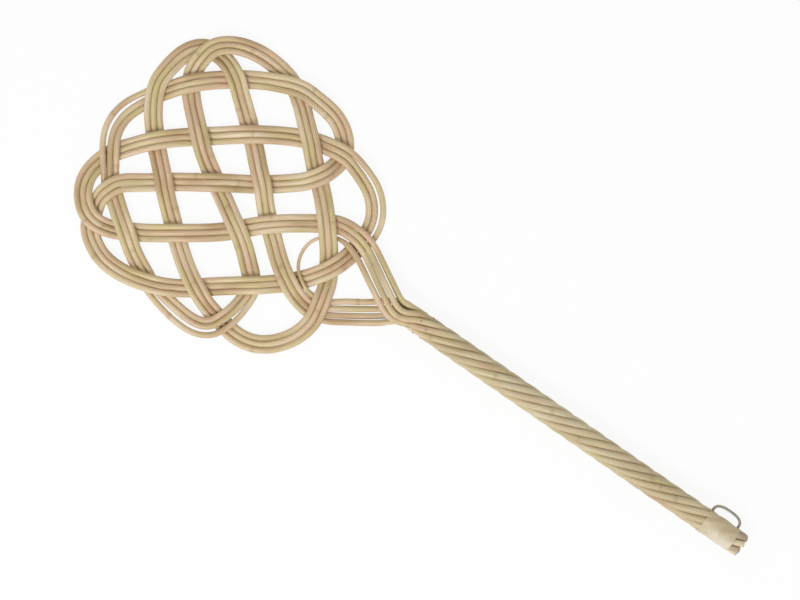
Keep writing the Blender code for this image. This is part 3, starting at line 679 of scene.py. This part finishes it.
def peeled_rattan(number):
    """Peeled rattan cane, skinned and sanded: satin, with long fibres and uneven tan tones.

    Sanding leaves a soft sheen, fibres that run along the cane as fine darker
    lines, a browner ring of old skin at each knuckle and ends that darken. Light
    goes a little way into the pale pith and softens the lines between canes.
    """
    chosen = settings().canes
    material, tree, shader = new_material(f"peeled_rattan_{number}")
    grain = add_node(tree, "ShaderNodeAttribute", attribute_name="grain")["Vector"]
    place = add_node(tree, "ShaderNodeVectorMath", {0: grain, 1: (CANE_SHIFT * number, 0.0, 0.0)},
                     operation="ADD")[0]
    handled, grip, skin, end_tone = (
        add_node(tree, "ShaderNodeAttribute", attribute_name=name)["Fac"]
        for name in ("handled", "grip", "knuckle", "end_tone"))
    tone = streaks(tree, place, 55, 12, 1.0)
    depth = streaks(tree, place, 70, 20, 1.0)
    # Bundles of vessels 1.4 mm apart and fibres 0.45 mm apart, as in sanded rattan
    vessels = streaks(tree, place, 30, 1.4, 2.0)
    fibres = streaks(tree, place, 12, 0.45, 3.0)
    colour = laid_over(tree, chosen.straw, (
        (tone, 0.38, 0.50, 1.0, chosen.tan),
        (tone, 0.50, 0.62, 1.0, chosen.blush),
        (depth, 0.52, 0.68, 0.75, chosen.pale),
        (depth, 0.48, 0.34, 0.75, chosen.deep),
        (handled, 0.0, 1.0, 1.0, chosen.handled),
        (grip, 0.0, 1.0, 1.0, chosen.grip),
        (vessels, 0.45, 0.72, 0.30, chosen.fibre),
        (fibres, 0.52, 0.80, 0.45, chosen.fibre),
        (skin, 0.0, 1.0, 1.0, chosen.fibre),
        # Cane ends past the tape made darker, and two of them paler
        (end_tone, 0.0, -1.0, 0.5, chosen.pale),
        (end_tone, 0.0, 1.0, 1.0, chosen.end_tone)))
    gloss = add_node(tree, "ShaderNodeMapRange", {"Value": streaks(tree, place, 20, 1.0, 2.0),
                                                  "To Min": 0.34, "To Max": 0.56})[0]
    bump = add_node(tree, "ShaderNodeBump", {"Height": streaks(tree, place, 10, 0.4, 3.0),
                                             "Strength": 0.5, "Distance": 0.00012})[0]
    fill(tree, shader, {"Base Color": colour, "Roughness": gloss, "Normal": bump, "IOR": 1.5,
                        "Subsurface Weight": 0.4, "Subsurface Scale": 0.0022,
                        "Subsurface Radius": (1.0, 0.7, 0.4)})
    return material


def sawn_end(name):
    """Sawn rattan: open pores 0.5 mm apart in a paler ground, dry and rough."""
    colour = settings().canes.cut_end
    material, tree, shader = new_material(name)
    grain = add_node(tree, "ShaderNodeAttribute", attribute_name="grain")["Vector"]
    pores = add_node(tree, "ShaderNodeTexVoronoi",
                     {"Vector": grain, "Scale": 1 / PORE_SPACING})["Distance"]
    bump = add_node(tree, "ShaderNodeBump",
                    {"Height": pores, "Strength": 0.8, "Distance": 0.0002})[0]
    shaded = laid_over(tree, colour * 0.25, [(pores, 0.25, 0.5, 1.0, colour)])
    fill(tree, shader, {"Base Color": shaded, "Roughness": 0.85, "IOR": 1.45, "Normal": bump})
    return material


def raw_stick():
    """Whole rattan stick left in its bark: drier and browner than the peeled canes."""
    colour = settings().small.stick
    material, tree, shader = new_material("raw_rattan_stick")
    grain = add_node(tree, "ShaderNodeAttribute", attribute_name="grain")["Vector"]
    bark = streaks(tree, grain, 20, 0.8, 3.0)
    bump = add_node(tree, "ShaderNodeBump", {"Height": streaks(tree, grain, 15, 0.5, 3.0),
                                             "Strength": 0.6, "Distance": 0.0002})[0]
    shaded = laid_over(tree, colour, [(bark, 0.4, 0.75, 0.6, colour * 0.55)])
    fill(tree, shader, {"Base Color": shaded, "Roughness": 0.6, "IOR": 1.5, "Normal": bump})
    return material


def woven_tape():
    """Thin cotton tape, plain woven and glazed: smooth sheen, close threads, painted shade on one
    side.

    The threads lie 0.5 mm apart and show only from near by, with painted shade between them.
    The side with the bow is painted darker as shade away from the light, mottled by soiled
    patches, and the hand has browned the edge toward the grip.
    """
    chosen = settings().tape
    material, tree, shader = new_material("glazed_cotton_tape")
    place = add_node(tree, "ShaderNodeAttribute", attribute_name="weave")["Vector"]
    side = add_node(tree, "ShaderNodeAttribute", attribute_name="side")["Fac"]
    along = add_node(tree, "ShaderNodeSeparateXYZ", {0: place})["X"]
    patches = add_node(tree, "ShaderNodeTexNoise",
                       {"Vector": place, "Scale": 1 / TAPE_PATCH, "Detail": 3.0})["Fac"]
    # Painted shade on the side with the bow, away from the light, mottled by soiled patches
    uneven = add_node(tree, "ShaderNodeMath", {0: side, 1: patches}, operation="ADD")[0]
    warp, weft = (
        add_node(tree, "ShaderNodeTexWave", {"Vector": place, "Scale": WAVE_UNIT / THREAD_SPACING,
                                             "Distortion": 0.6, "Detail": 1.0},
                 bands_direction=way)["Fac"]
        for way in ("X", "Y"))
    weave = add_node(tree, "ShaderNodeMath", {0: warp, 1: weft}, operation="ADD")[0]
    colour = laid_over(tree, chosen.colour, (
        (uneven, 0.10, 0.60, 1.0, chosen.painted_shade_and_held),
        (patches, 0.40, 0.70, 0.35, chosen.shade),
        # Painted shade in the hollows between the threads
        (weave, 1.2, 0.1, 0.22, chosen.shade),
        (along, TAPE_LOW.x + BROWNED_RUN, TAPE_LOW.x, 0.75, chosen.painted_shade_and_held)))
    bump = add_node(tree, "ShaderNodeBump",
                    {"Height": weave, "Strength": 0.5, "Distance": 0.00012})[0]
    fill(tree, shader, {"Base Color": colour, "Roughness": 0.42, "IOR": 1.5, "Normal": bump})
    return material


def waxed_cord():
    """Waxed flax cord, twisted from three yarns: grey, dull, with hairy fibres."""
    colour = settings().small.cord
    material, tree, shader = new_material("waxed_flax_cord")
    grain = add_node(tree, "ShaderNodeAttribute", attribute_name="grain")["Vector"]
    hairs = streaks(tree, grain, 3, 0.25, 3.0)
    bump = add_node(tree, "ShaderNodeBump", {"Height": streaks(tree, grain, 2, 0.2, 2.0),
                                             "Strength": 0.7, "Distance": 0.0001})[0]
    shaded = laid_over(tree, colour, [(hairs, 0.4, 0.7, 0.7, colour * 0.5)])
    fill(tree, shader, {"Base Color": shaded, "Roughness": 0.6, "IOR": 1.45, "Normal": bump})
    return material


def drawn_steel():
    """Bright drawn steel wire: fine marks of the die, a little dulled."""
    colour = settings().small.steel
    material, tree, shader = new_material("drawn_steel_wire")
    place = add_node(tree, "ShaderNodeTexCoord")["Object"]
    dull = add_node(tree, "ShaderNodeTexNoise",
                    {"Vector": place, "Scale": 1 / DIE_MARK, "Detail": 2.0})["Fac"]
    gloss = add_node(tree, "ShaderNodeMapRange", {"Value": dull, "From Min": 0.3, "From Max": 0.7,
                                                  "To Min": 0.28, "To Max": 0.48})[0]
    shaded = laid_over(tree, colour, [(dull, 0.0, 1.0, 1.0, colour * 0.7)])
    fill(tree, shader, {"Base Color": shaded, "Metallic": 1.0, "Roughness": gloss})
    return material


# Canes

KNUCKLE_SEED = 23
# Shares of the usual spacing before the first knuckle, and between the others
FIRST_KNUCKLE = (0.3, 0.8)
NEXT_KNUCKLE = (0.7, 1.3)
SKIN_SHARE = 0.45
UNEVEN_RUN = 0.030
OVAL_RUN = 0.060
# Turns round the handle, from +Y upward, of the two cane ends that are made paler where the others
# are made darker
PALE_END_DEGREES = (84.0, 174.0)
HANDLED_RUN = 0.060
HANDLED_SHARE = 0.45
# Middle of the hand's usual place before the tape, and half its length
GRIP_BEFORE_TAPE = 0.068
GRIP_RUN = 0.045
GRIP_SHARE = 0.18
# Length over which a cane of the handle is more or less soiled, and by how much
SOIL_RUN = 0.040
SOIL_SHARE = 0.45
STRIP_LENGTH = 0.26


def end_tones(line):
    """How much darker a cane is made along its line, past the tape: 1, or -1 where it is made paler
    instead.
    """
    past = (line[:, 0] - TAPE_HIGH.x) / settings().canes.end_tone_run
    turned = np.degrees(turns_of(line[[0, -1]])[0])
    off = (turned[:, None] - PALE_END_DEGREES + 180) % 360 - 180
    end_sign = np.where(np.abs(off).min(axis=1) > 180 / CANES_ROUND, 1.0, -1.0)
    first = np.arange(len(line)) < len(line) / 2
    return np.clip(past, 0.0, 1.0) * np.where(first, end_sign[0], end_sign[1])


def cane_mesh(name, line, radius, number):
    """A peeled cane with uneven thickness, knuckles and sawn ends."""
    chosen = settings().canes
    source = np.random.default_rng(KNUCKLE_SEED + number)
    line, radius = resampled(line, radius, chosen.ring_step)
    count = len(line)
    along = lengths_along(line)
    swelling = np.zeros(count)
    place = chosen.knuckle_spacing * source.uniform(*FIRST_KNUCKLE)
    while place < along[-1]:
        swelling = np.maximum(swelling, np.exp(-((along - place) / chosen.knuckle_length) ** 2))
        place += chosen.knuckle_spacing * source.uniform(*NEXT_KNUCKLE)
    uneven = chosen.unevenness * smooth_noise(count, UNEVEN_RUN, chosen.ring_step, source)
    radius = radius * (1 + uneven) + chosen.knuckle_rise * swelling * (radius / radius.max())
    turn = np.arange(chosen.sides) * math.tau / chosen.sides
    oval = chosen.unevenness * smooth_noise(count, OVAL_RUN, chosen.ring_step, source)
    rings = radius[:, None] * (1 + oval[:, None] * np.cos(2 * turn))
    mesh = tube(name, line, rings, math.ceil(along[-1] / STRIP_LENGTH))
    handled = np.clip((line[:, 0] - STICK_LOW.x) / HANDLED_RUN, 0.0, 1.0)
    off = (line[:, 0] - TAPE_LOW.x + GRIP_BEFORE_TAPE) / GRIP_RUN
    soil = SOIL_SHARE * handled * smooth_noise(count, SOIL_RUN, chosen.ring_step, source)
    for mark, values in (("knuckle", SKIN_SHARE * swelling ** 2), ("end_tone", end_tones(line)),
                         ("handled", HANDLED_SHARE * handled - soil),
                         ("grip", GRIP_SHARE * np.exp(-off ** 2) + np.maximum(soil, 0.0))):
        rows = np.repeat(np.pad(values, 1, mode="edge"), chosen.sides)
        add_marks(mesh, mark, np.append(rows, (0.0, 0.0)))
    return mesh


class BEATER_OT_canes(bpy.types.Operator):
    """Weave the three long canes and the neck loop cane"""

    bl_idname = "carpet_beater.canes"
    bl_label = "Rattan Canes"

    def execute(self, context):
        ends = sawn_end("sawn_cane_end")
        for number, (name, line, radius) in enumerate(zip(CANES, *cane_lines())):
            mesh = cane_mesh(name + "_look", line, radius, number)
            place_piece("peeled_" + name, mesh, [peeled_rattan(number), ends], [name])
        return {"FINISHED"}


# Core stick and brads

STICK_SIDES = 24
STICK_STEP = 0.010
STICK_UNEVENNESS = 0.01
STICK_RUN = 0.08


class BEATER_OT_core_stick(bpy.types.Operator):
    """Turn the round stick in the middle of the handle"""

    bl_idname = "carpet_beater.core_stick"
    bl_label = "Core Stick"

    def execute(self, context):
        x = even_places(STICK_LOW.x, STICK_HIGH.x, STICK_STEP)
        source = np.random.default_rng(KNUCKLE_SEED)
        uneven = STICK_UNEVENNESS * smooth_noise(len(x), STICK_RUN, STICK_STEP, source)
        radius = (STICK_HIGH.z - STICK_LOW.z) / 2 * (1 + uneven)
        x[[0, -1]] += (END_DEPTH, -END_DEPTH)
        mesh = tube("core_stick_look", round_handle(x, np.zeros_like(x), 0.0),
                    np.repeat(radius[:, None], STICK_SIDES, axis=1), 2)
        place_piece("round_core_stick", mesh, [raw_stick(), sawn_end("sawn_stick_end")],
                    ["core_stick"])
        return {"FINISHED"}


HEAD_SIDES = 16
# Profile of a brad from the middle of its head to its point: shares of the head's
# diameter outward, and of the brad's length inward
BRAD_PROFILE_SHARES = ((0.0, -0.075), (0.30, -0.060), (0.46, -0.020), (0.50, 0.015),
                       (0.42, 0.035), (0.22, 0.055), (0.22, 0.85), (0.0, 1.0))


def brad_mesh(name, place, outward, length, head):
    """A brad with a small domed head, turned about its own line."""
    side = np.cross(outward, TO_HANDLE_END)
    up = np.cross(side, outward)
    points = [place - outward * depth * length
              + head * share * (side * math.cos(turn) + up * math.sin(turn))
              for share, depth in BRAD_PROFILE_SHARES[1:-1]
              for turn in np.arange(HEAD_SIDES) * math.tau / HEAD_SIDES]
    tip = len(points)
    points += [place - outward * BRAD_PROFILE_SHARES[end][1] * length for end in (0, -1)]
    faces = [(a, d, c, b) for a, b, c, d in ring_quads(tip // HEAD_SIDES, HEAD_SIDES)]
    base = tip - HEAD_SIDES
    for step in range(HEAD_SIDES):
        after = (step + 1) % HEAD_SIDES
        faces += [(tip, step, after), (tip + 1, base + after, base + step)]
    mesh = bpy.data.meshes.new(name)
    mesh.from_pydata([tuple(point) for point in points], [], faces)
    mesh.shade_smooth()
    return mesh


class BEATER_OT_brads(bpy.types.Operator):
    """Drive the brads that hold the canes to the core stick"""

    bl_idname = "carpet_beater.brads"
    bl_label = "Brads"

    def execute(self, context):
        steel = drawn_steel()
        head = settings().small.brad_head
        lay = handle_spiral()[2]
        rings, radii = cane_rings("middle_cane")
        for name in sorted(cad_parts):
            if name.startswith("end_brad"):
                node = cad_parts[name]
                node.data.materials.clear()
                node.data.materials.append(steel)
            if name.startswith("neck_brad"):
                low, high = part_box(name)
                centre = np.array((low + high) / 2)
                outward = np.array((0.0, *(centre[1:] - HANDLE_MIDDLE)))
                outward /= np.linalg.norm(outward)
                thick = radii[np.argmin(np.abs(rings[:, 0] - centre[0]))]
                top = lay + thick + swell_at(centre[0]) / 2
                place = np.array((centre[0], *HANDLE_MIDDLE)) + outward * top
                mesh = brad_mesh(name + "_look", place, outward, max(high - low), head)
                place_piece("headed_" + name, mesh, [steel], [name])
        return {"FINISHED"}


# Tape

TAPE_ROUND = 160
TAPE_STEP = 0.0005
TAPE_EASE = 0.00006
# Run over which the tape's edge falls away, and the second layer's share where it begins
EDGE_RUN = 0.0007
LAP_START = 0.35
# How far the tape follows the grooves at the edge toward the grip, and for how long
EDGE_SAG = 0.45
SAG_RUN = 0.010


def stretched_round(turn, lay, thick, sag):
    """Distance from the handle's middle to a band over the ring of canes.

    It is stretched from cane to cane where its sag is 0, and lies in the grooves
    between them where its sag is 1.
    """
    half = math.pi / CANES_ROUND
    off = np.abs((turn + half) % (2 * half) - half)
    touch = np.arctan2(thick * math.sin(half), lay + thick * math.cos(half))
    over = lay * np.cos(off) + np.sqrt(np.maximum(thick ** 2 - (lay * np.sin(off)) ** 2, 0.0))
    between = (lay * math.cos(half) + thick) / np.cos(half - off)
    return np.where(off < touch, over, between + sag * (over - between))


class BEATER_OT_tape(bpy.types.Operator):
    """Wind the tape round the handle's end"""

    bl_idname = "carpet_beater.tape"
    bl_label = "End Tape"

    def execute(self, context):
        chosen = settings().tape
        rate, phase, lay = handle_spiral()
        pitch = chosen.width - chosen.overlap
        x, turn = np.meshgrid(even_places(TAPE_LOW.x, TAPE_HIGH.x, TAPE_STEP),
                              np.arange(TAPE_ROUND) * math.tau / TAPE_ROUND, indexing="ij")
        thick = cane_rings("middle_cane")[1][0] + swell_at(x) / 2 + TAPE_EASE
        sag = EDGE_SAG * np.clip(1.0 - (x - TAPE_LOW.x) / SAG_RUN, 0.0, 1.0) ** 2
        inner = stretched_round(turn - rate * x - phase, lay, thick, sag)
        part = ((x - TAPE_LOW.x) / pitch - turn / math.tau) % 1.0
        edge = np.clip((1.0 - part) * pitch / EDGE_RUN, 0.0, 1.0)
        layers = 1.0 + (LAP_START + (1.0 - LAP_START) * part) * edge
        outer = averaged(inner + chosen.thickness * layers, TAPE_STEP / 2, TAPE_STEP)
        outer[[0, -1]] -= chosen.thickness / 3
        points = [round_handle(x, turn, reach).reshape(-1, 3) for reach in (outer, inner)]
        quads = ring_quads(len(x), TAPE_ROUND)
        shift = x.size
        last = shift - TAPE_ROUND
        faces = quads + [tuple(corner + shift for corner in reversed(quad)) for quad in quads]
        for step in range(TAPE_ROUND):
            after = (step + 1) % TAPE_ROUND
            faces += [(after, step, step + shift, after + shift),
                      (last + step, last + after, last + after + shift, last + step + shift)]
        mesh = bpy.data.meshes.new("end_tape_look")
        mesh.from_pydata(np.vstack(points).tolist(), [], faces)
        weave = np.dstack((x, turn * (lay + thick), outer)).reshape(-1, 3)
        add_marks(mesh, "weave", np.vstack((weave, weave)))
        # How far round toward the side with the bow, which gets the tape's painted shade
        add_marks(mesh, "side", np.tile(np.cos(turn).ravel(), 2))
        mesh.shade_smooth()
        place_piece("wound_end_tape", mesh, [woven_tape()], ["end_tape"])
        return {"FINISHED"}


# Hanging bow

PLY_SIDES = 10
PLY_STEP = 0.0004
# How much thicker the yarns are than round ones that only touch
PLY_PRESS = 1.08
TO_HANDLE = np.array((0.0, -1.0, 0.0))
BOW_END_SPREAD = 0.001


class BEATER_OT_bow(bpy.types.Operator):
    """Twist the cord of the hanging bow"""

    bl_idname = "carpet_beater.bow"
    bl_label = "Hanging Bow"

    def execute(self, context):
        chosen = settings().small
        centres = ring_centres("hanging_bow", TO_HANDLE, BOW_END_SPREAD, BOW_SIDES)[0]
        along = lengths_along(centres)
        even = even_places(0.0, along[-1], PLY_STEP)
        line = spline(centres, along, even)
        side, up = moving_frames(line)[1:]
        round_ply = chosen.cord_width / 2 / (1 + 1 / math.sin(math.pi / chosen.plies))
        ply = round_ply * PLY_PRESS
        offset = chosen.cord_width / 2 - ply
        whole = bmesh.new()
        for number in range(chosen.plies):
            turn = even / chosen.ply_pitch * math.tau + number * math.tau / chosen.plies
            course = line + offset * (np.cos(turn)[:, None] * side + np.sin(turn)[:, None] * up)
            part = tube(f"bow_ply_{number}", course, np.full((len(line), PLY_SIDES), ply), 1)
            whole.from_mesh(part)
            bpy.data.meshes.remove(part)
        mesh = bpy.data.meshes.new("hanging_bow_look")
        whole.to_mesh(mesh)
        whole.free()
        mesh.polygons.foreach_set("material_index", [0] * len(mesh.polygons))
        mesh.uv_layers.remove(mesh.uv_layers["OFBake"])
        place_piece("twisted_hanging_bow", mesh, [waxed_cord()], ["hanging_bow"])
        return {"FINISHED"}


# Stage

FLOOR_REACH = 3.0
# Width of the softbox, and its place to the right, up and toward the camera
SOFTBOX_SIZE = 1.0
SOFTBOX_PLACE = Vector((-0.7, -1.1, 1.7))


def white_card():
    """Matt white card: dull and even, shown near white so that shadows stay faint on it."""
    chosen = settings().stage
    material, tree, shader = new_material("matt_white_card")
    fill(tree, shader, {"Base Color": (*chosen.floor, 1.0), "Roughness": 1.0,
                        "Specular IOR Level": 0.0})
    rays = add_node(tree, "ShaderNodeLightPath")
    seen = rays["Is Camera Ray"]
    for kind in ("Is Glossy Ray", "Is Transmission Ray"):
        seen = add_node(tree, "ShaderNodeMath", {0: seen, 1: rays[kind]},
                        operation="ADD", use_clamp=True)[0]
    share = add_node(tree, "ShaderNodeMath", {0: seen, 1: chosen.floor_glow},
                     operation="MULTIPLY")[0]
    glow = add_node(tree, "ShaderNodeEmission", {"Color": WHITE, "Strength": 1.0})[0]
    mixed = add_node(tree, "ShaderNodeMixShader", {0: share, 1: shader.outputs[0], 2: glow})[0]
    fill(tree, tree.nodes["Material Output"], {"Surface": mixed})
    return material


class BEATER_OT_stage(bpy.types.Operator):
    """Lay the floor and set the lights and the camera"""

    bl_idname = "carpet_beater.stage"
    bl_label = "Floor, Lights and Camera"

    def execute(self, context):
        chosen = settings().stage
        scene = context.scene
        slope = math.radians(HANDLE_SLOPE_DEGREES)
        mesh = bpy.data.meshes.new("floor")
        mesh.from_pydata([(FLOOR_REACH * x, FLOOR_REACH * y, 0)
                          for x, y in ((-1, -1), (1, -1), (1, 1), (-1, 1))], [], [(0, 1, 2, 3)])
        floor = put_in_scene("floor", mesh)
        mesh.materials.append(white_card())
        right, down = np.array(PHOTO_SIZE) / 2 - STICK_END_PIXEL
        along = (right * math.cos(slope) + down * math.sin(slope)) * PIXEL_SIZE
        across = (right * math.sin(slope) - down * math.cos(slope)) * PIXEL_SIZE
        camera_data = bpy.data.cameras.new("camera")
        camera_data.lens = chosen.lens
        distance = PIXEL_SIZE * PHOTO_SIZE[0] * chosen.lens / camera_data.sensor_width
        camera = put_in_scene("camera", camera_data)
        camera.location = (STICK_LOW.x + along, HANDLE_MIDDLE[0] + across,
                           HANDLE_MIDDLE[1] + distance)
        camera.rotation_euler.z = slope
        scene.camera = camera
        lamp = bpy.data.lights.new("softbox", "AREA")
        lamp.shape = "DISK"
        lamp.size = SOFTBOX_SIZE
        lamp.energy = chosen.key
        light = put_in_scene("softbox", lamp)
        light.location = Matrix.Rotation(slope, 3, "Z") @ SOFTBOX_PLACE
        light.rotation_euler = (-light.location).to_track_quat("-Z", "Y").to_euler()
        world = bpy.data.worlds.new("studio")
        world.use_nodes = True
        fill(world.node_tree, world.node_tree.nodes["Background"],
             {"Color": WHITE, "Strength": chosen.sky})
        scene.world = world
        scene.view_settings.view_transform = "Standard"
        return {"FINISHED"}


class BEATER_PT_panel(bpy.types.Panel):
    """Carpet beater panel in the sidebar"""

    bl_label = "Carpet Beater"
    bl_idname = "BEATER_PT_panel"
    bl_space_type = "VIEW_3D"
    bl_region_type = "UI"
    bl_category = "Carpet Beater"

    def draw(self, context):
        for operator in OPERATORS:
            self.layout.operator(operator.bl_idname)
        for name in ("canes", "tape", "small", "stage"):
            group = getattr(context.scene.carpet_beater, name)
            box = self.layout.box()
            box.label(text=name.capitalize())
            for setting in group.bl_rna.properties:
                if setting.identifier not in {"rna_type", "name"}:
                    box.prop(group, setting.identifier)


OPERATORS = (BEATER_OT_stage, BEATER_OT_canes, BEATER_OT_core_stick, BEATER_OT_brads,
             BEATER_OT_tape, BEATER_OT_bow)
CLASSES = (CaneSettings, TapeSettings, SmallPartSettings, StageSettings, BeaterSettings,
           *OPERATORS, BEATER_PT_panel)


def register():
    """Register the classes and the scene's settings."""
    for kind in CLASSES:
        bpy.utils.register_class(kind)
    bpy.types.Scene.carpet_beater = bpy.props.PointerProperty(type=BeaterSettings)


def unregister():
    """Take away what register added."""
    del bpy.types.Scene.carpet_beater
    for kind in reversed(CLASSES):
        bpy.utils.unregister_class(kind)


def main():
    """Build the carpet beater."""
    register()
    bpy.ops.carpet_beater.stage()
    bpy.ops.carpet_beater.canes()
    bpy.ops.carpet_beater.core_stick()
    bpy.ops.carpet_beater.brads()
    bpy.ops.carpet_beater.tape()
    bpy.ops.carpet_beater.bow()


if __name__ == "__main__":
    main()
